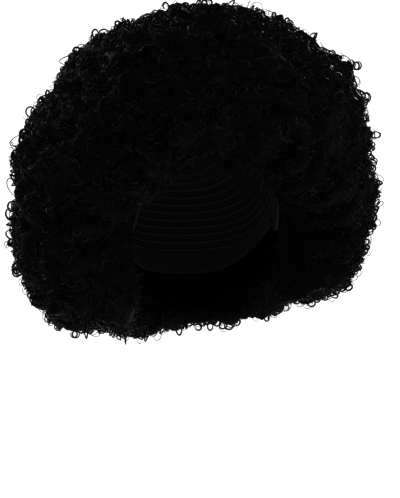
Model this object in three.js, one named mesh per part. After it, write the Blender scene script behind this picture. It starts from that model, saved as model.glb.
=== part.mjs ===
// A big round afro wig: rows of curly wefts sewn in rings on a stretch cap with an elastic edge band.
// Millimetres, +Z up. The origin is the inside of the cap at the crown of the head, and the face looks
// along -Y.

import * as THREE from "three";

// Head that the wig is made for
const HEAD_WIDTH = 154;
const HEAD_LENGTH = 194;
const HEAD_DEPTH = 104; // from the crown down to the widest level of the head
const HEAD_SQUARENESS = 2.3; // exponent of the head's superellipse, 2 would be an ellipse
const NECK_WIDTH = 130;
const NECK_LENGTH = 126;

// Cap and its elastic edge band
const CAP_WALL = 1.5;
const BAND_HEIGHT = 16;
const BAND_WALL = 2.2; // flush with the cap outside, so it stands proud inside
const BAND_GAP = 0.4; // between the cap's cut edge and the band, along the cap

// Outer form of the hair, to the tops of its average locks
const PUFF_WIDTH = 392;
const PUFF_RISE = 110; // above the crown of the head
const PUFF_FRONT_LENGTH = 181; // ahead of the middle of the head
const PUFF_BACK_LENGTH = 203; // behind the middle of the head
const LEFT_HANG = 121; // below the widest level of the head, at the -X lobe
const RIGHT_HANG = 99; // the same at the +X lobe
const NAPE_HANG = 118; // the same at the back
const PLAN_SQUARENESS = 2.1;
const UPPER_SQUARENESS = 2.2;
const LOWER_SQUARENESS = 3.8;

// Hem of the hair, where its outer face rolls in round the face and neck to its inner one
const HEM_THICKNESS = 12;
const ROLL_REACH = 0.8; // share of the way from the middle ring to the hem where the roll starts
const ROLL_SHARE = 0.26; // share of the rows of hair that lies on the roll
const ROLL_SQUARENESS = 2.4;

// Locks, the bulging tufts of curls along each weft
const LOCK_DEPTH = 14; // from the top of a lock to the groove round it
const LOCK_VARIATION = 6; // how much lock tops differ
const LOCK_LEAN = 7; // how far lock tops lean to any side
const LOCK_SQUARENESS = 2.6;

// Spaces between pieces
const SEAT_CLEARANCE = 0.3; // hair to cap
const WEFT_GAP = 0.4; // between neighbouring rows of hair

// Divisions of the faceted surfaces
const AROUND = 72;
const STEPS_PER_ROW = 3;
const CAP_AROUND = 48;
const CAP_STEPS = 9;

// All rings run round one axis, which leans back from +Z so that its lower end points out of the opening
// for the face and neck.
const RING_TILT = THREE.MathUtils.degToRad(50);

// Edge of the hair and edge of the cap, from the middle of the forehead round one side to the nape.
// across is a share of half the head's width, along of half its length with the face negative,
// down of HEAD_DEPTH and hang of the hair's hang there. hem is a share of HEM_THICKNESS, and roll is how far
// the outer face rolls in: 1 round the face, and little under the lobes, whose own form closes to the neck.
const HAIR_EDGE = [
  { place: "hairline", across: 0, along: -0.905, down: 0.5, hang: 0, hem: 1, roll: 1 },
  { place: "forehead", across: 0.52, along: -0.85, down: 0.66, hang: 0, hem: 1, roll: 1 },
  { place: "temple", across: 0.8, along: -0.65, down: 0.88, hang: 0, hem: 1, roll: 1 },
  { place: "sideburn", across: 0.95, along: -0.38, down: 1.03, hang: 0, hem: 1.3, roll: 1 },
  { place: "ear", across: 0.97, along: -0.27, down: 1, hang: 0.25, hem: 1.6, roll: 0.9 },
  { place: "jaw", across: 0.93, along: -0.25, down: 1, hang: 0.52, hem: 2, roll: 0.4 },
  { place: "lobe", across: 0.88, along: -0.15, down: 1, hang: 0.78, hem: 2, roll: 0.1 },
  { place: "neck_side", across: 0.62, along: 0.4, down: 1, hang: 0.82, hem: 1.6, roll: 0.1 },
  { place: "nape", across: 0, along: 0.64, down: 1, hang: 0.82, hem: 1.4, roll: 0.2 },
];
const CAP_EDGE = [
  { place: "hairline", across: 0, along: -0.905, down: 0.38, hang: 0 },
  { place: "forehead", across: 0.52, along: -0.85, down: 0.48, hang: 0 },
  { place: "temple", across: 0.8, along: -0.65, down: 0.73, hang: 0 },
  { place: "sideburn", across: 0.95, along: -0.38, down: 1, hang: 0 },
  { place: "ear_tab", across: 0.98, along: -0.2, down: 1.17, hang: 0 },
  { place: "over_ear", across: 1, along: 0.04, down: 1.12, hang: 0 },
  { place: "behind_ear", across: 0.92, along: 0.42, down: 1.32, hang: 0 },
  { place: "neck_side", across: 0.55, along: 0.72, down: 1.53, hang: 0 },
  { place: "nape", across: 0, along: 0.84, down: 1.58, hang: 0 },
];

// Swells and dents of the outline seen from the front. turn is degrees from +X towards +Z, and swell a
// share of the radius.
const OUTLINE = [
  { turn: 0, swell: -0.03 },
  { turn: 12, swell: 0.01 },
  { turn: 24, swell: -0.085 },
  { turn: 38, swell: -0.055 },
  { turn: 48, swell: 0.05 },
  { turn: 65, swell: 0.02 },
  { turn: 78, swell: 0.03 },
  { turn: 96, swell: 0.01 },
  { turn: 108, swell: 0 },
  { turn: 119, swell: 0.03 },
  { turn: 133, swell: -0.075 },
  { turn: 149, swell: 0.02 },
  { turn: 160, swell: 0.01 },
  { turn: 171, swell: -0.01 },
  { turn: 187, swell: 0.015 },
  { turn: 201, swell: 0.015 },
  { turn: 216, swell: -0.045 },
  { turn: 270, swell: 0 },
  { turn: 338, swell: -0.06 },
];

// Rows of hair from the crown out to the hem. to is the share of the way to the hem, locks how many stand
// in the ring and stagger how many divisions its first lock starts early, so that grooves don't line up.
const WEFTS = [
  { name: "crown_tuft", to: 0.13, locks: 6, stagger: 0 },
  { name: "weft_8", to: 0.24, locks: 12, stagger: 3 },
  { name: "weft_7", to: 0.35, locks: 18, stagger: 0 },
  { name: "weft_6", to: 0.46, locks: 24, stagger: 2 },
  { name: "weft_5", to: 0.57, locks: 24, stagger: 1 },
  { name: "weft_4", to: 0.68, locks: 24, stagger: 0 },
  { name: "weft_3", to: 0.79, locks: 24, stagger: 2 },
  { name: "weft_2", to: 0.9, locks: 24, stagger: 1 },
  { name: "weft_1", to: 1, locks: 24, stagger: 2 },
];

const FULL_TURN = 2 * Math.PI;
const MIDDLE = new THREE.Vector3(0, 0, -HEAD_DEPTH);
const RING_AXIS = new THREE.Vector3(0, Math.sin(RING_TILT), Math.cos(RING_TILT));
const RING_RIGHT = new THREE.Vector3(1, 0, 0);
const RING_FORWARD = new THREE.Vector3(0, -Math.cos(RING_TILT), Math.sin(RING_TILT));

const wrapTurn = (angle) => ((angle % FULL_TURN) + FULL_TURN) % FULL_TURN;

// A smooth closed curve through knots { at, value }, with at in radians round one turn, in rising order.
function closedCurve(knots) {
  const count = knots.length;
  const knot = (i) => {
    const turns = Math.floor(i / count);
    const { at, value } = knots[i - turns * count];
    return { at: at + turns * FULL_TURN, value };
  };
  const slope = (i) => (knot(i + 1).value - knot(i - 1).value) / (knot(i + 1).at - knot(i - 1).at);
  return (angle) => {
    const at = knots[0].at + wrapTurn(angle - knots[0].at);
    let i = 0;
    while (i < count - 1 && knot(i + 1).at <= at) i += 1;
    const [from, to] = [knot(i), knot(i + 1)];
    const span = to.at - from.at;
    const t = (at - from.at) / span;
    const ease = t * t * (3 - 2 * t);
    const leave = t * (1 - t) * (1 - t) * span * slope(i);
    const arrive = t * t * (t - 1) * span * slope(i + 1);
    return from.value + (to.value - from.value) * ease + leave + arrive;
  };
}

// Bearing of a direction seen from above: 0 at the face, a quarter turn at +X.
const bearingOf = (direction) => Math.atan2(direction.x, -direction.y);

// How far the hair hangs below the widest level of the head, at a bearing.
const hangAt = closedCurve([
  { at: 0, value: (LEFT_HANG + RIGHT_HANG) / 2 },
  { at: FULL_TURN / 4, value: RIGHT_HANG },
  { at: FULL_TURN / 2, value: NAPE_HANG },
  { at: (FULL_TURN * 3) / 4, value: LEFT_HANG },
]);

const outlineSwell = closedCurve(
  OUTLINE.map(({ turn, swell }) => ({ at: THREE.MathUtils.degToRad(turn), value: swell })),
);

// Direction from the middle of the head, at an angle round the ring axis and an angle away from it.
function directionAt(round, away) {
  return new THREE.Vector3()
    .addScaledVector(RING_AXIS, Math.cos(away))
    .addScaledVector(RING_RIGHT, Math.sin(away) * Math.sin(round))
    .addScaledVector(RING_FORWARD, Math.sin(away) * Math.cos(round));
}

// One side's edge rows as knots round the ring axis, with the other side their mirror.
function edgeKnots(rows) {
  const knotOn = (side, row) => {
    const { across, along, down, hang } = row;
    const x = (side * across * HEAD_WIDTH) / 2;
    const y = (along * HEAD_LENGTH) / 2;
    const drop = (down - 1) * HEAD_DEPTH + hang * hangAt(Math.atan2(x, -y));
    const point = new THREE.Vector3(x, y, -drop);
    const at = wrapTurn(Math.atan2(point.dot(RING_RIGHT), point.dot(RING_FORWARD)));
    return { ...row, at, away: point.angleTo(RING_AXIS) };
  };
  const right = rows.map((row) => knotOn(1, row));
  const left = rows.slice(1, -1).map((row) => knotOn(-1, row));
  return [...right, ...left.reverse()];
}

const hairKnots = edgeKnots(HAIR_EDGE);
const hairEdge = closedCurve(hairKnots.map(({ at, away }) => ({ at, value: away })));
const hemThickness = closedCurve(hairKnots.map(({ at, hem }) => ({ at, value: hem * HEM_THICKNESS })));
const rollAmount = closedCurve(hairKnots.map(({ at, roll }) => ({ at, value: roll })));
const capEdge = closedCurve(edgeKnots(CAP_EDGE).map(({ at, away }) => ({ at, value: away })));

// Distance from the middle of the head to the skin of the head or neck, grown by an offset.
function skinRadius(direction, offset) {
  const { x, y, z } = direction;
  const n = HEAD_SQUARENESS;
  const across = Math.abs(x / (HEAD_WIDTH / 2 + offset)) ** n;
  const along = Math.abs(y / (HEAD_LENGTH / 2 + offset)) ** n;
  const up = Math.abs(z / (HEAD_DEPTH + offset)) ** n;
  const head = (across + along + up) ** (-1 / n);
  const neckAcross = Math.abs(x / (NECK_WIDTH / 2 + offset)) ** n;
  const neckAlong = Math.abs(y / (NECK_LENGTH / 2 + offset)) ** n;
  return z < 0 ? Math.max(head, (neckAcross + neckAlong) ** (-1 / n)) : head;
}

// Distance from the middle of the head to the grooves between the locks, before the roll at the hem.
function puffRadius(direction) {
  const { x, y, z } = direction;
  const halfLength = (y < 0 ? PUFF_FRONT_LENGTH : PUFF_BACK_LENGTH) - LOCK_DEPTH;
  const halfHeight = (z > 0 ? HEAD_DEPTH + PUFF_RISE : hangAt(bearingOf(direction))) - LOCK_DEPTH;
  const n = z > 0 ? UPPER_SQUARENESS : LOWER_SQUARENESS;
  const across = Math.abs(x / (PUFF_WIDTH / 2 - LOCK_DEPTH)) ** PLAN_SQUARENESS;
  const along = Math.abs(y / halfLength) ** PLAN_SQUARENESS;
  const radius = ((across + along) ** (n / PLAN_SQUARENESS) + Math.abs(z / halfHeight) ** n) ** (-1 / n);
  return radius * (1 + outlineSwell(Math.atan2(z, x)) * (x * x + z * z));
}

// Large uneven factors, so that neighbouring locks draw unlike numbers.
const CHANCE = { row: 127.1, lock: 311.7, use: 74.7, spread: 43758.5453 };

// A repeatable number from -1 to 1 for each lock, one for each use.
function lockChance(row, lock, use) {
  const wave = Math.sin(row * CHANCE.row + lock * CHANCE.lock + use * CHANCE.use) * CHANCE.spread;
  return 2 * (wave - Math.floor(wave)) - 1;
}

// How full a lock stands at a share of the way across it: 1 in its middle and 0 in the groove beside it.
const lockDome = (share) => 1 - Math.abs(2 * share - 1) ** LOCK_SQUARENESS;

// How far a lock carries its surface out, towards the hem and round the ring, at a place in its row.
function lockOffset(row, turn, share) {
  const { locks, stagger } = WEFTS[row];
  const place = (turn + stagger / AROUND) * locks;
  const lock = Math.floor(place) % locks;
  const fullness = lockDome(place - Math.floor(place)) * lockDome(share);
  return {
    out: (LOCK_DEPTH + lockChance(row, lock, 0) * LOCK_VARIATION) * fullness,
    down: lockChance(row, lock, 1) * LOCK_LEAN * fullness,
    round: lockChance(row, lock, 2) * LOCK_LEAN * fullness,
  };
}

// Flat steps cut inside a curved face by this much, so the hair's inner face stands off by it as well.
function stepSag(radius, stepAngle) {
  return radius * (1 - Math.cos(stepAngle / 2));
}

const FURTHEST_EDGE = Math.max(...hairKnots.map(({ away }) => away));
const WIDEST_ROW = Math.max(...WEFTS.map(({ to }, row) => to - (row ? WEFTS[row - 1].to : 0)));
const HEAD_REACH = Math.max(HEAD_LENGTH / 2, HEAD_DEPTH);
const STEP_SAG = stepSag(HEAD_REACH, FURTHEST_EDGE * WIDEST_ROW) + stepSag(HEAD_REACH, FULL_TURN / AROUND);
const HAIR_OFFSET = CAP_WALL + SEAT_CLEARANCE + STEP_SAG;

// Where the hair's outer face is at a share of the way down it: how far towards the hem, how full, and the
// angle that the face has turned by. An amount of 0 is no roll, and 1 a quarter turn in to the hem.
function rollAt(share, amount) {
  const quarter = (Math.max(0, share - 1 + ROLL_SHARE) / ROLL_SHARE) * (Math.PI / 2);
  const power = 2 / ROLL_SQUARENESS;
  const before = (Math.min(share, 1 - ROLL_SHARE) * ROLL_REACH) / (1 - ROLL_SHARE);
  const rolled = before + (1 - ROLL_REACH) * Math.sin(quarter) ** power;
  return {
    reach: THREE.MathUtils.lerp(share, rolled, amount),
    fullness: THREE.MathUtils.lerp(1, Math.max(0, Math.cos(quarter)) ** power, amount),
    turned: quarter * amount,
  };
}

// A point of the hair's outer face, with its lock's offset and a small shift towards the hem.
function hairPoint(row, turn, share, shift) {
  const from = row ? WEFTS[row - 1].to : 0;
  const round = turn * FULL_TURN;
  const { reach, fullness, turned } = rollAt(from + (WEFTS[row].to - from) * share, rollAmount(round));
  const away = hairEdge(round) * reach;
  const out = directionAt(round, away);
  const inner = skinRadius(out, HAIR_OFFSET);
  const hem = hemThickness(round);
  const thickness = Math.max(puffRadius(out) - inner, hem);
  const toHem = directionAt(round, away + Math.PI / 2);
  const toSide = new THREE.Vector3().crossVectors(toHem, out);
  const normal = out.clone().multiplyScalar(Math.cos(turned)).addScaledVector(toHem, Math.sin(turned));
  const downFace = new THREE.Vector3().crossVectors(normal, toSide);
  const lock = lockOffset(row, turn, share);
  return pointAlong(out, inner + hem + (thickness - hem) * fullness)
    .addScaledVector(toHem, shift)
    .addScaledVector(normal, lock.out)
    .addScaledVector(downFace, lock.down)
    .addScaledVector(toSide, lock.round);
}

// A closed solid from loops of points, one loop at each turn. Loops run down the outer face and back up the
// inner one. The face that closes a loop splits along its other diagonal, as the neighbouring ring's face
// beside it does.
function ringSolid(around, loopAt) {
  const loops = Array.from({ length: around }, (_, j) => loopAt(j / around));
  const size = loops[0].length;
  const positions = loops.flat().flatMap((point) => point.toArray());
  const index = [];
  const addFace = (...corners) => {
    const [a, b, c] = corners.map((corner) => positions.slice(3 * corner, 3 * corner + 3).join());
    if (a !== b && b !== c && c !== a) index.push(...corners);
  };
  for (let j = 0; j < around; j += 1) {
    const next = ((j + 1) % around) * size;
    for (let i = 0; i < size; i += 1) {
      const here = j * size + i;
      const below = j * size + ((i + 1) % size);
      const beside = next + i;
      const across = next + ((i + 1) % size);
      if (i === size - 1) {
        addFace(here, below, beside);
        addFace(below, across, beside);
      } else {
        addFace(here, below, across);
        addFace(here, across, beside);
      }
    }
  }
  const geometry = new THREE.BufferGeometry();
  geometry.setAttribute("position", new THREE.Float32BufferAttribute(positions, 3));
  geometry.setIndex(index);
  geometry.computeVertexNormals();
  return geometry;
}

const pointAlong = (direction, radius) => direction.clone().multiplyScalar(radius).add(MIDDLE);

// Values evenly from one to another.
function steps(from, to, count) {
  return Array.from({ length: count + 1 }, (_, i) => from + ((to - from) * i) / count);
}

// One row of hair: a ring of locks standing on the cap, with half a gap left at each side it shares with a
// neighbour.
function weftSolid(row) {
  const from = row ? WEFTS[row - 1].to : 0;
  const { to } = WEFTS[row];
  const isLast = row === WEFTS.length - 1;
  const shiftAt = (share) => {
    if (share === 0 && row > 0) return WEFT_GAP / 2;
    if (share === 1 && !isLast) return -WEFT_GAP / 2;
    return 0;
  };
  return ringSolid(AROUND, (turn) => {
    const round = turn * FULL_TURN;
    const outer = steps(0, 1, STEPS_PER_ROW).map((share) => hairPoint(row, turn, share, shiftAt(share)));
    const inner = steps(1, 0, 1).map((share) => {
      const away = hairEdge(round) * (from + (to - from) * share);
      const toHem = directionAt(round, away + Math.PI / 2);
      return skinPoint(round, away, HAIR_OFFSET).addScaledVector(toHem, shiftAt(share));
    });
    return [...outer, ...inner];
  });
}

// A point of the cap or band, an offset out from the skin.
function skinPoint(round, away, offset) {
  const direction = directionAt(round, away);
  return pointAlong(direction, skinRadius(direction, offset));
}

// Angle away from the ring axis that lies a distance above the cap's edge.
function aboveCapEdge(round, distance) {
  const edge = capEdge(round);
  return edge - distance / skinRadius(directionAt(round, edge), 0);
}

// The stretch cap: a thin dome over the head, cut to take the band along its edge.
function capSolid() {
  return ringSolid(CAP_AROUND, (turn) => {
    const round = turn * FULL_TURN;
    const edge = aboveCapEdge(round, BAND_HEIGHT + BAND_GAP);
    const outer = steps(0, edge, CAP_STEPS).map((away) => skinPoint(round, away, CAP_WALL));
    const inner = steps(edge, 0, CAP_STEPS).map((away) => skinPoint(round, away, 0));
    return [...outer, ...inner];
  });
}

// The elastic band sewn along the cap's edge.
function bandSolid() {
  return ringSolid(CAP_AROUND, (turn) => {
    const round = turn * FULL_TURN;
    const [top, bottom] = [aboveCapEdge(round, BAND_HEIGHT), capEdge(round)];
    return [
      skinPoint(round, top, CAP_WALL),
      skinPoint(round, bottom, CAP_WALL),
      skinPoint(round, bottom, CAP_WALL - BAND_WALL),
      skinPoint(round, top, CAP_WALL - BAND_WALL),
    ];
  });
}

const CURLY_HAIR = { color: 0x09090b, roughness: 0.55, metalness: 0 };
const CAP_NET = { color: 0x141416, roughness: 0.85, metalness: 0 };
const EDGE_ELASTIC = { color: 0x1b1b1e, roughness: 0.75, metalness: 0 };

function pieceOf(name, geometry, finish) {
  const mesh = new THREE.Mesh(geometry, new THREE.MeshStandardMaterial(finish));
  mesh.name = name;
  return mesh;
}

const wig = new THREE.Group();
wig.name = "afro_wig";
wig.add(pieceOf("cap", capSolid(), CAP_NET));
wig.add(pieceOf("edge_band", bandSolid(), EDGE_ELASTIC));
WEFTS.forEach(({ name }, row) => wig.add(pieceOf(name, weftSolid(row), CURLY_HAIR)));

export default wig;
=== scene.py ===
import math

import bpy
import numpy as np
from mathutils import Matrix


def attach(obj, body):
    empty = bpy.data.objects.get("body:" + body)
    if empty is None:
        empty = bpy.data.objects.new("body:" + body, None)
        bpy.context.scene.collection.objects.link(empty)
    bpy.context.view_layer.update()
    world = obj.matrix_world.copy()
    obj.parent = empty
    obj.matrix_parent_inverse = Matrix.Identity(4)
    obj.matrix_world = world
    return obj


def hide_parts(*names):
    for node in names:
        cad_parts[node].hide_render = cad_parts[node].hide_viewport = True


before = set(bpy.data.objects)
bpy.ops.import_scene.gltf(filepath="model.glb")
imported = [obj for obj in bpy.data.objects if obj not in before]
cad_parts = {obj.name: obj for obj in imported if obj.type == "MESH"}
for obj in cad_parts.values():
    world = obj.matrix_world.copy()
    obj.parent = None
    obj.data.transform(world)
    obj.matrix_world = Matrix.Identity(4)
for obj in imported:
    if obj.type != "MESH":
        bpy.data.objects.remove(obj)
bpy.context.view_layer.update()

# Cap: a thin stretch net, knitted in one dome that clings to the head. Everything else is sewn to it.
# The net's mesh is fine and matt, with black hair showing through its holes.
MM = 0.001
TURN = 2 * math.pi
NET_CELL = 2.2 * MM
NET_THREAD = 0.16  # share of a cell that its thread takes
NET_COLOUR = (0.006, 0.006, 0.0065, 1)
NET_HOLE_COLOUR = (0.002, 0.002, 0.0022, 1)
NET_RELIEF = 0.4 * MM
CAP_LEVELS = 1
SHARP_ANGLE = math.radians(60)


def packed_arrays(node):
    """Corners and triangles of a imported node, with the corners that lie at one place made one."""
    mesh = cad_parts[node].data
    points = np.empty(len(mesh.vertices) * 3)
    mesh.vertices.foreach_get("co", points)
    corners = np.empty(len(mesh.loops), dtype=int)
    mesh.loops.foreach_get("vertex_index", corners)
    points = points.reshape(-1, 3)
    _, first, merged = np.unique(points.round(6), axis=0, return_index=True, return_inverse=True)
    return points[first], merged.ravel()[corners].reshape(-1, 3)


def piece_of(name, points, *face_arrays):
    """A mesh object from one array of points and, for each count of corners, an array of faces."""
    mesh = bpy.data.meshes.new(name)
    mesh.vertices.add(len(points))
    mesh.vertices.foreach_set("co", np.asarray(points, dtype=np.float32).ravel())
    counts = np.concatenate([np.full(len(faces), faces.shape[1]) for faces in face_arrays])
    corners = np.concatenate([faces.ravel() for faces in face_arrays])
    mesh.loops.add(len(corners))
    mesh.loops.foreach_set("vertex_index", corners.astype(np.int32))
    mesh.polygons.add(len(counts))
    mesh.polygons.foreach_set("loop_start", (np.cumsum(counts) - counts).astype(np.int32))
    mesh.update(calc_edges=True)
    mesh.polygons.foreach_set("use_smooth", np.ones(len(counts), dtype=bool))
    obj = bpy.data.objects.new(name, mesh)
    bpy.context.scene.collection.objects.link(obj)
    return obj


def crease(obj, is_creased):
    """Creases the edges of obj that a rule picks. The rule gets each edge's two faces and the normals of all
    faces."""
    mesh = obj.data
    edge_of_corner = np.empty(len(mesh.loops), dtype=int)
    mesh.loops.foreach_get("edge_index", edge_of_corner)
    sizes = np.empty(len(mesh.polygons), dtype=int)
    mesh.polygons.foreach_get("loop_total", sizes)
    face_of_corner = np.repeat(np.arange(len(sizes)), sizes)
    pairs = face_of_corner[np.argsort(edge_of_corner, kind="stable")].reshape(-1, 2)
    normals = np.empty(len(mesh.polygons) * 3)
    mesh.polygons.foreach_get("normal", normals)
    creases = is_creased(pairs.T, normals.reshape(-1, 3)).astype(np.float32)
    mesh.attributes.new("crease_edge", "FLOAT", "EDGE").data.foreach_set("value", creases)


def is_sharp(pair, normals):
    """Where a pair of faces turn by more than an angle."""
    return (normals[pair[0]] * normals[pair[1]]).sum(axis=1) < math.cos(SHARP_ANGLE)


def subdivide(obj, levels):
    """Gives obj the mesh that Subdivision Surface makes of it."""
    modifier = obj.modifiers.new("subdivision", "SUBSURF")
    modifier.levels = modifier.render_levels = levels
    evaluated = obj.evaluated_get(bpy.context.evaluated_depsgraph_get())
    finer = bpy.data.meshes.new_from_object(evaluated)
    obj.modifiers.clear()
    obj.data = finer


class Finish:
    """A material with one Principled shader, and short ways to add and join its nodes."""

    def __init__(self, name, **values):
        self.material = bpy.data.materials.new(name)
        self.material.use_nodes = True
        self.tree = self.material.node_tree
        self.shader = self.tree.nodes["Principled BSDF"]
        for socket, value in values.items():
            self.shader.inputs[socket.replace("_", " ")].default_value = value

    def node(self, kind, values=None, **settings):
        made = self.tree.nodes.new("ShaderNode" + kind)
        for setting, value in settings.items():
            setattr(made, setting, value)
        for socket, value in (values or {}).items():
            made.inputs[socket].default_value = value
        return made

    def join(self, output, socket):
        self.tree.links.new(output, socket)

    def colour(self, factor, low, high):
        """Base colour that runs from low to high with a factor."""
        mix = self.node("Mix", data_type="RGBA")
        mix.inputs["A"].default_value = low
        mix.inputs["B"].default_value = high
        self.join(factor, mix.inputs["Factor"])
        self.join(mix.outputs["Result"], self.shader.inputs["Base Color"])

    def relief(self, height, distance, strength=1.0):
        """Bump from a height of 0 to 1 that stands for a distance."""
        bump = self.node("Bump", {"Strength": strength, "Distance": distance})
        self.join(height, bump.inputs["Height"])
        self.join(bump.outputs["Normal"], self.shader.inputs["Normal"])


def ride_and_finish(obj, material, slot, *nodes):
    """What every piece of the wig gets: its body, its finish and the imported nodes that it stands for."""
    obj.data.materials.append(material)
    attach(obj, "root")
    if nodes:
        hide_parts(*nodes)


net = Finish("stretch_net", Roughness=0.85, Specular_IOR_Level=0.12)
net_place = net.node("TexCoord").outputs["Object"]
net_cells = net.node("TexVoronoi", {"Scale": 1 / NET_CELL}, feature="DISTANCE_TO_EDGE")
net.join(net_place, net_cells.inputs["Vector"])
net_thread = net.node("MapRange", {"From Min": 0.0, "From Max": NET_THREAD, "To Min": 1.0, "To Max": 0.0})
net.join(net_cells.outputs["Distance"], net_thread.inputs["Value"])
net.colour(net_thread.outputs["Result"], NET_HOLE_COLOUR, NET_COLOUR)
net.relief(net_thread.outputs["Result"], NET_RELIEF)

cap = piece_of("cap_net", *packed_arrays("cap"))
crease(cap, is_sharp)
subdivide(cap, CAP_LEVELS)
ride_and_finish(cap, net.material, "cap_net", "cap")

# Weft tracks: narrow tapes that carry the wefts, stitched in rings to the inside of the net.
# Each follows the cap's own rings, and its stitches show as a fine grain.
CAP_TURNS = 48
CAP_RINGS = 9
HEAD_MIDDLE = np.array([0, 0, -104 * MM])
RING_TILT = math.radians(50)
RING_AXIS = np.array([0, math.sin(RING_TILT), math.cos(RING_TILT)])
RING_RIGHT = np.array([1.0, 0, 0])
RING_FORWARD = np.cross(RING_AXIS, RING_RIGHT)
TRACK_WIDTH = 3.0 * MM
TRACK_THICKNESS = 0.7 * MM
TRACK_STEPS = 2  # points of a track for each of the cap's turns
TRACK_COUNT = 12
TRACK_START = 0.16  # share of the way to the cap's edge where the first track runs
TRACK_WAVES = 3
TRACK_MARGIN = 0.05  # radians that the last track keeps to the evened edge
TRACK_COLOUR = (0.007, 0.007, 0.0075, 1)
TRACK_SEAM_COLOUR = (0.003, 0.003, 0.0035, 1)
STITCH_LENGTH = 2.5 * MM
STITCH_RELIEF = 0.5 * MM
POLE_ANGLE = math.radians(1)  # corners nearer to the ring axis than this are a ring's pole


def unit(vectors):
    """The vectors at length 1."""
    return vectors / np.linalg.norm(vectors, axis=-1, keepdims=True)


def ring_grid(node, turns, rings):
    """A packed ring's corners as a grid, turns round the ring axis by 2 x rings from its middle out, inner
    face first. Poles are left out. Corners are sorted by their angle round the axis, then by distance out of
    the head's surface, then by angle away from the axis."""
    points, _ = packed_arrays(node)
    arms = points - HEAD_MIDDLE
    along = unit(arms) @ RING_AXIS
    away = np.arccos(np.clip(along, -1, 1))
    around = np.arctan2(arms @ RING_RIGHT, arms @ RING_FORWARD) % TURN
    kept = away > POLE_ANGLE
    points, away, around = points[kept], away[kept], around[kept]
    step = np.round(around / TURN * turns).astype(int) % turns
    by_turn = points[np.lexsort((away, step))].reshape(turns, rings, 2, 3)
    reach = np.linalg.norm(by_turn - HEAD_MIDDLE, axis=-1)
    inner_first = np.argsort(reach, axis=2)[..., None]
    return np.take_along_axis(by_turn, inner_first, axis=2).transpose(0, 2, 1, 3)


def finer_ring(points, steps):
    """A closed ring of points with steps points for each one, on cubic curves through them (Catmull-Rom)."""
    before, after, beyond = (np.roll(points, shift, axis=0)[:, None] for shift in (1, -1, -2))
    here = points[:, None]
    t = (np.arange(steps) / steps)[None, :, None]
    curve = 2 * here + (after - before) * t + (2 * before - 5 * here + 4 * after - beyond) * t**2
    curve = curve + (3 * here - before - 3 * after + beyond) * t**3
    return curve.reshape(-1, 3) / 2


def grid_faces(rows, columns, first=0, close_rows=False, close_columns=False):
    """Four-cornered faces of a grid of points that is stored row by row, closed on itself where asked."""
    across = np.arange(columns if close_columns else columns - 1)
    down = np.arange(rows if close_rows else rows - 1)[:, None]
    next_across, next_down = (across + 1) % columns, (down + 1) % rows
    corners = [down * columns + across, next_down * columns + across]
    corners += [next_down * columns + next_across, down * columns + next_across]
    return first + np.stack(corners, axis=-1).reshape(-1, 4)


def tape_along(ring, outward, width, thickness):
    """A closed tape along a closed ring: a flat section of four corners carried along it, its wide side
    across the ring and its thin side along outward."""
    along = unit(np.roll(ring, -1, axis=0) - np.roll(ring, 1, axis=0))
    outward = unit(outward - (outward * along).sum(axis=1, keepdims=True) * along)
    across = np.cross(along, outward)
    section = np.array([(-0.5, 0), (0.5, 0), (0.5, -1), (-0.5, -1)])
    offsets = section[None, :, :1] * width * across[:, None]
    offsets = offsets + section[None, :, 1:] * thickness * outward[:, None]
    return (ring[:, None] + offsets).reshape(-1, 3)


def ring_on_cap(inside, share):
    """A ring on the cap's inner face, at a share of the way from its middle to its edge. The way is that of
    an evened edge, kept low in waves round the cap, so that the ring doesn't copy the tabs over the ears."""
    away = np.arccos(unit(inside[:, -1] - HEAD_MIDDLE) @ RING_AXIS)
    waves_kept = np.fft.rfft(away)
    waves_kept[TRACK_WAVES:] = 0
    even = np.fft.irfft(waves_kept, len(away))
    place = np.clip(share * (even - TRACK_MARGIN) / away, 0, 1) * CAP_RINGS - 1
    lower = np.clip(place.astype(int), 0, CAP_RINGS - 2)
    part = (place - lower)[:, None]
    turns = np.arange(len(inside))
    return inside[turns, lower] * (1 - part) + inside[turns, lower + 1] * part


cap_inside = ring_grid("cap", CAP_TURNS, CAP_RINGS)[:, 0]
track_points, track_faces = [], []
for share in np.linspace(TRACK_START, 1, TRACK_COUNT):
    track = finer_ring(ring_on_cap(cap_inside, share), TRACK_STEPS)
    track_faces.append(grid_faces(len(track), 4, 4 * len(track) * len(track_points), True, True))
    track_points.append(tape_along(track, unit(track - HEAD_MIDDLE), TRACK_WIDTH, TRACK_THICKNESS))
tracks = piece_of("weft_tracks", np.concatenate(track_points), np.concatenate(track_faces))

tape = Finish("stitched_tape", Roughness=0.8, Specular_IOR_Level=0.15)
tape_place = tape.node("TexCoord").outputs["Object"]
tape_weave = tape.node("TexNoise", {"Scale": 1 / STITCH_LENGTH, "Detail": 3.0})
tape.join(tape_place, tape_weave.inputs["Vector"])
tape.colour(tape_weave.outputs["Fac"], TRACK_SEAM_COLOUR, TRACK_COLOUR)
tape.relief(tape_weave.outputs["Fac"], STITCH_RELIEF)
ride_and_finish(tracks, tape.material, "cap_net")

# Edge band: a ribbed elastic tape sewn along the cap's cut edge, round the forehead, ears and nape.
# Its ribs run along it, and it keeps the cap's edge tight on the skin.
BAND_STEPS = 4
BAND_RIBS = 6
BAND_RIB_DEPTH = 0.35 * MM
BAND_PROFILE_STEPS = 25
BAND_COLOUR = (0.0045, 0.0045, 0.005, 1)
BAND_RIB_COLOUR = (0.008, 0.008, 0.0085, 1)
KNIT_CELL = 0.9 * MM
KNIT_RELIEF = 0.25 * MM


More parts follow.
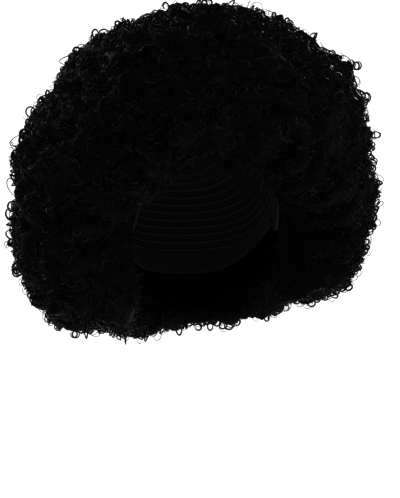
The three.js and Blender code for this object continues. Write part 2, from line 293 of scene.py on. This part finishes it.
def ribbed_band(inner_top, inner_bottom, outer_top, outer_bottom):
    """A closed band between four rings of points. Across it, the section goes down the inner face and up the
    outer one in even steps, and each face swells and dips in a row of ribs, by a rectified sine."""
    share = np.linspace(0, 1, BAND_PROFILE_STEPS)[None, :, None]
    rib = np.abs(np.sin(share * BAND_RIBS * math.pi))
    inner = inner_top[:, None] * (1 - share) + inner_bottom[:, None] * share
    outer = outer_bottom[:, None] * (1 - share) + outer_top[:, None] * share
    inward = unit(inner - outer[:, ::-1])
    inner = inner + inward * (rib - 1) * BAND_RIB_DEPTH
    outer = outer + unit(outer - inner[:, ::-1]) * (rib[:, ::-1] - 1) * BAND_RIB_DEPTH
    return np.concatenate([inner, outer], axis=1)


band_grid = ring_grid("edge_band", CAP_TURNS, 2)
band_rings = [finer_ring(band_grid[:, face, ring], BAND_STEPS) for face in (0, 1) for ring in (0, 1)]
band_points = ribbed_band(*band_rings)
band = piece_of(
    "elastic_band",
    band_points.reshape(-1, 3),
    grid_faces(*band_points.shape[:2], close_rows=True, close_columns=True),
)

elastic = Finish("ribbed_elastic", Roughness=0.85, Specular_IOR_Level=0.12)
elastic_place = elastic.node("TexCoord").outputs["Object"]
elastic_knit = elastic.node("TexVoronoi", {"Scale": 1 / KNIT_CELL})
elastic.join(elastic_place, elastic_knit.inputs["Vector"])
elastic.colour(elastic_knit.outputs["Distance"], BAND_RIB_COLOUR, BAND_COLOUR)
elastic.relief(elastic_knit.outputs["Distance"], KNIT_RELIEF)
ride_and_finish(band, elastic.material, "edge_elastic", "edge_band")

# Fleece: the dense mass of crimped fibres at the heart of each row of curls, from the crown out to the hem.
# It fills the dips between the row's locks, and is set in a little so that the ringlets can stand on it.
HAIR_ROWS = ["crown_tuft"] + [f"weft_{number}" for number in range(8, 0, -1)]
FLEECE_LEVELS = 2
FLEECE_INSET = 5.2 * MM  # below the tops of the locks
EVENNESS = 0.95  # share of the way from each point of a lock to its neighbours' tops that the mass fills
EVEN_ANGLE = 0.1  # radians over which tops count as neighbours
EVEN_RISE = 7.5 * MM  # tops that stand this much higher count e times as much
LUMP_HEIGHT = 3.6 * MM
LUMP_SPAN = (22 * MM, 55 * MM)
LUMP_WAVES = 24
TUFT_HEIGHT = 1.3 * MM
TUFT_SPAN = (8 * MM, 15 * MM)
TUFT_WAVES = 48
HEM_REACH = 105 * MM  # from the middle of the head, where the hair is as thin as its hem
FULL_REACH = 160 * MM  # from there out it is as deep as it gets
TOUCHING = 1.0 * MM
ON_CAP = 9.0 * MM
INWARD_LOOK = -0.5  # cosine to straight out, below which a face looks in at the head
MOVE_LOOK = (0.1, 0.4)  # cosines between which a point's move grows from none to all
CRIMP_BEND_SCALE = 70.0
CRIMP_BEND = 6 * MM
CRIMP_CELL = 10 * MM
CRIMP_RATE = 34.0  # radians of the crimps' wave for each cell
CRIMP_RELIEF = 1.0 * MM
# Painted shade and sheen: the fleece's colour runs from darkest in its crimps' dips to lightest on their
# crests.
FLEECE_SHADE_TO_SHEEN_COLOURS = (0.0002, 0.0002, 0.00025, 1), (0.0010, 0.0010, 0.0012, 1)
SEED = 95


def waves(points, count, span, seed):
    """Smooth uneven relief of about -2 to 2: the sum of sine waves that run in many directions, each with a
    length within the span and a start of its own."""
    chance = np.random.default_rng(seed)
    directions = unit(chance.normal(size=(count, 3)))
    rates = TURN / chance.uniform(*span, count)
    starts = chance.uniform(0, TURN, count)
    return np.sin(points @ (directions * rates[:, None]).T + starts).sum(axis=1) * math.sqrt(2 / count)


def depth_share(points):
    """0 at the hem and on the cap, 1 out where the hair is deep, with a smooth run between."""
    reach = np.linalg.norm(points - HEAD_MIDDLE, axis=-1)
    share = np.clip((reach - HEM_REACH) / (FULL_REACH - HEM_REACH), 0, 1)
    return share * share * (3 - 2 * share)


def tops_reach(points, corners):
    """How far from the head's middle the tops of the locks lie in each point's direction: the mean reach of
    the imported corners, which count less the further off their direction is, and more the further out they
    lie."""
    arms = corners - HEAD_MIDDLE
    reach = np.linalg.norm(arms, axis=1)
    nearness = (unit(points - HEAD_MIDDLE) @ unit(arms).T - 1) / EVEN_ANGLE**2
    weights = np.exp((nearness + (reach - reach.max()) / EVEN_RISE).astype(np.float32))
    return weights @ reach / weights.sum(axis=1)


def open_quads(obj):
    """The points of obj, and the corners of each of its faces that isn't sewn, four to a face."""
    mesh = obj.data
    points = np.empty(len(mesh.vertices) * 3)
    mesh.vertices.foreach_get("co", points)
    corners = np.empty(len(mesh.loops), dtype=int)
    mesh.loops.foreach_get("vertex_index", corners)
    sewn = np.empty(len(mesh.polygons))
    mesh.attributes["sewn"].data.foreach_get("value", sewn)
    return points.reshape(-1, 3), corners.reshape(-1, 4)[sewn < 0.5]


def facing(points, quads):
    """For each face a vector out of it, as long as its area is large: half its diagonals' cross product."""
    a, b, c, d = points[quads].transpose(1, 0, 2)
    return np.cross(c - a, d - b) / 2


def open_normals(points, quads):
    """For each point the mean direction that the open faces round it look in, and 0 where there are none."""
    summed = np.zeros(points.shape)
    np.add.at(summed, quads, facing(points, quads)[:, None])
    return summed / np.maximum(np.linalg.norm(summed, axis=1, keepdims=True), 1e-12)


def nearest(points, others):
    """How far each point is from the nearest of the others."""
    return np.sqrt(((points[:, None] - others[None]) ** 2).sum(axis=-1)).min(axis=1)


row_arrays = {row: packed_arrays(row) for row in HAIR_ROWS}
row_centres = {row: points[faces].mean(axis=1) for row, (points, faces) in row_arrays.items()}
all_corners = np.concatenate([points for points, _ in row_arrays.values()])
cap_arrays = [packed_arrays(node) for node in ("cap", "edge_band")]
cap_centres = np.concatenate([points[faces].mean(axis=1) for points, faces in cap_arrays])


def fleece_of(row):
    """A row's packed form made smooth, with the relief of its mass: a point of its outer face moves away
    from the head's middle by lumps, tufts and a share of the way to the tops round it, less the inset, and
    not at all at the hem. Faces that touch a neighbouring row or the cap are marked as sewn."""
    points, faces = row_arrays[row]
    centres = row_centres[row]
    others = np.concatenate([row_centres[other] for other in HAIR_ROWS if other != row])
    a, b, c = points[faces].transpose(1, 0, 2)
    normals = unit(np.cross(b - a, c - a))
    inward = (normals * unit(centres - HEAD_MIDDLE)).sum(axis=1) < INWARD_LOOK
    sewn = (nearest(centres, others) < TOUCHING) | (inward & (nearest(centres, cap_centres) < ON_CAP))
    obj = piece_of(row + "_fleece", points, faces)
    obj.data.attributes.new("sewn", "FLOAT", "FACE").data.foreach_set("value", sewn.astype(np.float32))
    crease(obj, lambda pair, normals: sewn[pair[0]] != sewn[pair[1]])
    subdivide(obj, FLEECE_LEVELS)
    smooth, quads = open_quads(obj)
    outward = unit(smooth - HEAD_MIDDLE)
    looks_out = (open_normals(smooth, quads) * outward).sum(axis=1)
    faces_out = np.clip((looks_out - MOVE_LOOK[0]) / (MOVE_LOOK[1] - MOVE_LOOK[0]), 0, 1)
    lumps = LUMP_HEIGHT * waves(smooth, LUMP_WAVES, LUMP_SPAN, SEED)
    tufts = TUFT_HEIGHT * waves(smooth, TUFT_WAVES, TUFT_SPAN, SEED + 1)
    fill = (tops_reach(smooth, all_corners) - np.linalg.norm(smooth - HEAD_MIDDLE, axis=1)) * EVENNESS
    rise = (lumps + tufts + fill - FLEECE_INSET) * depth_share(smooth) * faces_out
    moved = smooth + outward * rise[:, None]
    obj.data.vertices.foreach_set("co", moved.astype(np.float32).ravel())
    obj.data.update()
    return obj


fleece = Finish("crimped_fleece_painted_shade", Roughness=0.6, IOR=1.3, Specular_IOR_Level=0.06)
fleece_place = fleece.node("TexCoord").outputs["Object"]
fleece_bend = fleece.node("TexNoise", {"Scale": CRIMP_BEND_SCALE, "Detail": 2.0})
fleece.join(fleece_place, fleece_bend.inputs["Vector"])
fleece_shift = fleece.node("VectorMath", operation="MULTIPLY_ADD")
fleece.join(fleece_bend.outputs["Color"], fleece_shift.inputs[0])
fleece_shift.inputs[1].default_value = (CRIMP_BEND,) * 3
fleece.join(fleece_place, fleece_shift.inputs[2])
fleece_cells = fleece.node("TexVoronoi", {"Scale": 1 / CRIMP_CELL})
fleece.join(fleece_shift.outputs["Vector"], fleece_cells.inputs["Vector"])
fleece_rings = fleece.node("Math", operation="MULTIPLY")
fleece.join(fleece_cells.outputs["Distance"], fleece_rings.inputs[0])
fleece_rings.inputs[1].default_value = CRIMP_RATE
fleece_arcs = fleece.node("Math", operation="SINE")
fleece.join(fleece_rings.outputs["Value"], fleece_arcs.inputs[0])
fleece_height_and_shade = fleece.node("MapRange", {"From Min": -1.0, "From Max": 1.0})
fleece.join(fleece_arcs.outputs["Value"], fleece_height_and_shade.inputs["Value"])
# The base colour follows the crimps' height, which also drives their bump: painted shade in their dips and
# painted sheen on their crests.
fleece.colour(fleece_height_and_shade.outputs["Result"], *FLEECE_SHADE_TO_SHEEN_COLOURS)
fleece.relief(fleece_height_and_shade.outputs["Result"], CRIMP_RELIEF)

fleeces = {row: fleece_of(row) for row in HAIR_ROWS}
for row, obj in fleeces.items():
    ride_and_finish(obj, fleece.material, "curly_hair", row)

# Ringlets: bundles of fibre set in tight loops and coils by steam, standing all over the fleece, with finer
# stray fibres and a few flyaways. Many sink back into the mass and some stand clear of it, in clumps that lie
# one way, and those on top are pressed flatter by their own weight.
STRAND_KINDS = {  # sizes in mm, stand in radii over the fleece, lift in degrees off it
    "loop": {"per_m2": 5900, "points": 13, "turns": (0.9, 1.1), "radius": (2.9, 5.9), "pitch": (2.0, 5.0),
             "width": (1.2, 2.0), "thickness": (0.8, 1.2), "stand": (-0.3, 1.3), "lift": 20},
    "coil": {"per_m2": 3000, "points": 22, "turns": (1.9, 2.1), "radius": (2.4, 4.6), "pitch": (2.6, 4.6),
             "width": (1.1, 1.7), "thickness": (0.7, 1.0), "stand": (-0.3, 1.2), "lift": 24},
    "stray": {"per_m2": 6400, "points": 12, "turns": (0.6, 1.3), "radius": (2.4, 6.0), "pitch": (3.0, 8.0),
              "width": (0.35, 0.6), "thickness": (0.25, 0.4), "stand": (0.0, 1.5), "lift": 35},
    "flyaway": {"per_m2": 240, "points": 22, "turns": (0.7, 1.4), "radius": (5.0, 9.0), "pitch": (6.0, 14.0),
                "width": (0.6, 0.9), "thickness": (0.4, 0.6), "stand": (0.3, 1.1), "lift": 35},
}
STAND_POWER = 2.0  # above 1, so that few strands stand high
HEM_CURL_SHARE = 0.6  # size of the curls at the hem, against those out where the hair is deep
HEM_CROWDING = 1.2  # how much more of them stand there
TOP_FLATNESS = 0.45  # share of their stand that curls lose on top
SKIN_FLATNESS = 0.8  # and where they lie against the skin
COIL_FLATNESS = (0.65, 1.1)  # height of a coil's turns against their width
COIL_START_SPREAD = 0.5  # radians
COIL_SHRINK = 0.5  # most of its radius that a coil loses by its end
COIL_WOBBLE = 0.13  # share of its radius
COIL_WOBBLE_RATE = 0.37  # waves for each turn
COIL_SWAY = 0.06  # share of its length by which it sways along its axis in each turn
COIL_TAPER = 0.45  # power of the sine by which a strand thins to its ends
COIL_BLUNTNESS = 0.03  # share of its length that is left off that sine at both ends
CLUMP_SPAN = (22 * MM, 50 * MM)
CLUMP_WAVES = 12
CLUMP_DISORDER = 0.55  # how far strands stray from the way their clump lies
FORELOCK_ROOT = np.array([4.0, -95.0, -54.0]) * MM  # under the middle of the hairline
FORELOCK_TIP = np.array([5.8, -98.0, -68.5]) * MM
FORELOCK_WIDTH = 11 * MM
FORELOCK_CURLS = 40
FORELOCK_CURL_SHARE = 0.55
STRAND_GRAIN = 0.5 * MM
STRAND_RELIEF = 0.15 * MM
STRAND_RELIEF_STRENGTH = 0.6
FIBRE_COLOURS = (0.0003, 0.0003, 0.0004, 1), (0.0026, 0.0020, 0.0025, 1)


def scatter(obj, per_m2, chance):
    """Points spread over the faces of obj that aren't sewn, and the faces' normals there. They are spread by
    area, and closer together at the hem."""
    points, quads = open_quads(obj)
    looks = facing(points, quads)
    crowding = 1 + HEM_CROWDING * (1 - depth_share(points[quads].mean(axis=1)))
    reached = np.cumsum(np.linalg.norm(looks, axis=1) * crowding * per_m2)
    count = int(reached[-1])
    picked = np.searchsorted(reached, np.arange(count) + chance.random(count))
    picked = np.minimum(picked, len(quads) - 1)
    u, v = chance.random((2, count, 1))
    a, b, c, d = points[quads[picked]].transpose(1, 0, 2)
    return (a * (1 - u) + b * u) * (1 - v) + (d * (1 - u) + c * u) * v, unit(looks[picked])


def stand_share(spots, normals):
    """How much of its stand a strand keeps: less on top, and least where it looks in at the head."""
    on_top = np.clip(normals[:, 2], 0, 1)
    on_skin = np.clip(-(normals * unit(spots - HEAD_MIDDLE)).sum(axis=1), 0, 1)
    return (1 - TOP_FLATNESS * on_top) * (1 - SKIN_FLATNESS * on_skin)


def clump_lie(spots):
    """The way that a clump of ringlets lies: a direction at each spot that turns slowly from spot to spot."""
    seeds = [SEED + 10 + axis for axis in range(3)]
    return np.stack([waves(spots, CLUMP_WAVES, CLUMP_SPAN, seed) for seed in seeds], axis=-1)


def coils(spots, normals, size, kind, chance):
    """Coiled strands as one array of sections, one strand for each spot. A strand's axis lies along the
    surface the way its clump does, lifted by an angle, and runs through a point at a height over its spot.
    The strand winds round it in flattened turns that shrink towards its end, and starts on the side towards
    the surface. Its section is a flat triangle, widest along the axis, and thins to both ends."""
    count = len(spots)
    columns = ("radius", "pitch", "width", "thickness")
    drawn = {column: chance.uniform(*kind[column], count) for column in columns}
    radius, pitch = drawn["radius"] * MM * size, drawn["pitch"] * MM * size
    width = drawn["width"] * MM * (1 + size) / 2
    thickness = drawn["thickness"] * MM * (1 + size) / 2
    turns = chance.uniform(*kind["turns"], count)
    lift = np.abs(chance.normal(0, math.radians(kind["lift"]), count))
    low, high = kind["stand"]
    stand = chance.random(count) ** STAND_POWER * stand_share(spots, normals)
    height = radius * (low + (high - low) * stand)
    lie = clump_lie(spots) + CLUMP_DISORDER * chance.normal(size=(count, 3))
    tangent = unit(np.cross(normals, lie))
    axis = tangent * np.cos(lift)[:, None] + normals * np.sin(lift)[:, None]
    up = unit(normals - (normals * axis).sum(axis=1, keepdims=True) * axis)
    side = np.cross(axis, up) * chance.choice([-1, 1], (count, 1))
    flatness = chance.uniform(*COIL_FLATNESS, (count, 1))
    t = np.linspace(0, 1, kind["points"])[None, :]
    angle = math.pi + chance.normal(0, COIL_START_SPREAD, (count, 1)) + TURN * turns[:, None] * t
    wobble = 1 + COIL_WOBBLE * np.sin(angle * COIL_WOBBLE_RATE + chance.uniform(0, TURN, (count, 1)))
    reach = radius[:, None] * (1 - chance.uniform(0, COIL_SHRINK, (count, 1)) * t**2) * wobble
    outward = up[:, None] * (np.cos(angle) * flatness)[..., None] + side[:, None] * np.sin(angle)[..., None]
    travel = (pitch * turns)[:, None] * (t - 0.5 + COIL_SWAY * np.sin(angle))
    middle = (spots + normals * height[:, None])[:, None] + axis[:, None] * travel[..., None]
    path = middle + outward * reach[..., None]
    along = unit(np.gradient(path, axis=1))
    thin = unit(outward - (outward * along).sum(axis=-1, keepdims=True) * along)
    wide = np.cross(along, thin)
    thick_part = np.clip(t, COIL_BLUNTNESS, 1 - COIL_BLUNTNESS)
    taper = (np.sin(math.pi * thick_part) ** COIL_TAPER)[..., None, None]
    section = np.array([(0.0, 1.0), (-0.5, -0.5), (0.5, -0.5)])
    spread = section[:, :1] * width[:, None, None, None] * wide[:, :, None]
    spread = spread + section[:, 1:] * thickness[:, None, None, None] * thin[:, :, None]
    return path[:, :, None] + spread * taper


def strand_faces(count, points_each, first):
    """Faces of strands stored one after another, three corners to a section, closed at both ends."""
    one = grid_faces(points_each, 3, close_columns=True)
    starts = first + np.arange(count)[:, None, None] * points_each * 3
    sides = (starts + one[None]).reshape(-1, 4)
    last = (points_each - 1) * 3
    ends = np.array([(0, 1, 2), (last + 2, last + 1, last)])
    return sides, (starts + ends[None]).reshape(-1, 3)


def joined_strands(name, bunches, chance):
    """One mesh of all the strands in the bunches, with a tone from 0 to 1 for each strand."""
    sides, ends, tones, first = [], [], [], 0
    for bunch in bunches:
        count, points_each = bunch.shape[:2]
        bunch_sides, bunch_ends = strand_faces(count, points_each, first)
        sides.append(bunch_sides)
        ends.append(bunch_ends)
        tones.append(np.repeat(chance.random(count), points_each * 3))
        first += bunch.size // 3
    points = np.concatenate([bunch.reshape(-1, 3) for bunch in bunches])
    curls = piece_of(name, points, np.concatenate(sides), np.concatenate(ends))
    tone = curls.data.attributes.new("tone", "FLOAT", "POINT")
    tone.data.foreach_set("value", np.concatenate(tones).astype(np.float32))
    return curls


def forelock(chance):
    """A few small curls that slip out under the hairline: they hang in a point from root to tip, in a
    narrower spread the lower they hang, and look out from the forehead."""
    down = chance.random((FORELOCK_CURLS, 1))
    across = chance.uniform(-0.5, 0.5, (FORELOCK_CURLS, 1)) * FORELOCK_WIDTH * (1 - down)
    spots = FORELOCK_ROOT * (1 - down) + FORELOCK_TIP * down + across * np.array([1.0, 0, 0])
    normals = np.tile([0.0, -1.0, 0.0], (FORELOCK_CURLS, 1))
    size = np.full(FORELOCK_CURLS, FORELOCK_CURL_SHARE)
    return coils(spots, normals, size, STRAND_KINDS["loop"], chance)


def ringlets_of(row, number):
    """All the strands that stand on one row's fleece, and on the hem's row the forelock."""
    chance = np.random.default_rng(SEED + 100 + number)
    bunches = []
    for kind in STRAND_KINDS.values():
        spots, normals = scatter(fleeces[row], kind["per_m2"], chance)
        size = HEM_CURL_SHARE + (1 - HEM_CURL_SHARE) * depth_share(spots)
        bunches.append(coils(spots, normals, size, kind, chance))
    if row == HAIR_ROWS[-1]:
        bunches.append(forelock(chance))
    return joined_strands(row + "_ringlets", bunches, chance)


fibre = Finish("crimped_fibre", Roughness=0.48, IOR=1.3, Specular_IOR_Level=0.11)
fibre_tone = fibre.node("Attribute", attribute_name="tone")
fibre.colour(fibre_tone.outputs["Fac"], *FIBRE_COLOURS)
fibre_place = fibre.node("TexCoord").outputs["Object"]
fibre_strands = fibre.node("TexNoise", {"Scale": 1 / STRAND_GRAIN, "Detail": 2.0})
fibre.join(fibre_place, fibre_strands.inputs["Vector"])
fibre.relief(fibre_strands.outputs["Fac"], STRAND_RELIEF, STRAND_RELIEF_STRENGTH)

for number, row in enumerate(HAIR_ROWS):
    ride_and_finish(ringlets_of(row, number), fibre.material, "curly_hair", row)

# Studio: a plain pale floor far below the wig, soft lights and the camera.
# The wig is held in the air as if worn.
FLOOR_DROP = 0.55
FLOOR_REACH = 9.0
FLOOR_COLOUR = (0.95, 0.95, 0.95, 1)
WORLD_STRENGTH = 1.1
CAMERA_AZIMUTH = math.radians(-14)
CAMERA_DISTANCE = 2.0
CAMERA_TARGET = np.array([0, 0, -0.140])
CAMERA_LENS = 139.7
DARK_GAMMA = 0.58  # below 1, so that blacks are as deep as in a contrasty print

floor_corners = np.array([(-1, -1), (1, -1), (1, 1), (-1, 1)]) * FLOOR_REACH
floor_points = np.column_stack([floor_corners, np.full(4, -FLOOR_DROP)])
floor = piece_of("floor", floor_points, np.array([(0, 1, 2, 3)]))
pale = Finish("pale_floor", Base_Color=FLOOR_COLOUR, Roughness=0.9, Specular_IOR_Level=0.1)
floor.data.materials.append(pale.material)

world = bpy.data.worlds.new("white_studio")
bpy.context.scene.world = world
world.use_nodes = True
world.node_tree.nodes["Background"].inputs["Color"].default_value = (1, 1, 1, 1)
world.node_tree.nodes["Background"].inputs["Strength"].default_value = WORLD_STRENGTH
bpy.context.scene.view_settings.view_transform = "Standard"
bpy.context.scene.view_settings.gamma = DARK_GAMMA


def soft_light(name, place, size, watts):
    """A square light of some size that faces the wig."""
    data = bpy.data.lights.new(name, "AREA")
    data.energy = watts
    data.size = size
    lamp = bpy.data.objects.new(name, data)
    lamp.location = place
    towards = CAMERA_TARGET - np.array(place)
    yaw = math.atan2(towards[1], towards[0])
    tip = math.acos(-towards[2] / np.linalg.norm(towards))
    lamp.rotation_euler = (tip, 0, yaw - math.pi / 2)
    bpy.context.scene.collection.objects.link(lamp)


soft_light("key_light", (-1.2, -1.6, 1.3), 0.9, 250)
soft_light("side_light", (1.7, -0.9, 0.5), 0.7, 170)
soft_light("back_light", (-1.5, 1.6, 1.2), 0.9, 140)
soft_light("far_side_light", (1.3, 1.7, 0.9), 0.9, 150)

camera = bpy.data.objects.new("camera", bpy.data.cameras.new("camera"))
camera.data.lens = CAMERA_LENS
camera.data.sensor_width = 36
back = np.array([math.sin(CAMERA_AZIMUTH), -math.cos(CAMERA_AZIMUTH), 0])
camera.location = CAMERA_TARGET + CAMERA_DISTANCE * back
camera.rotation_euler = (math.pi / 2, 0, CAMERA_AZIMUTH)
bpy.context.scene.collection.objects.link(camera)
bpy.context.scene.camera = camera
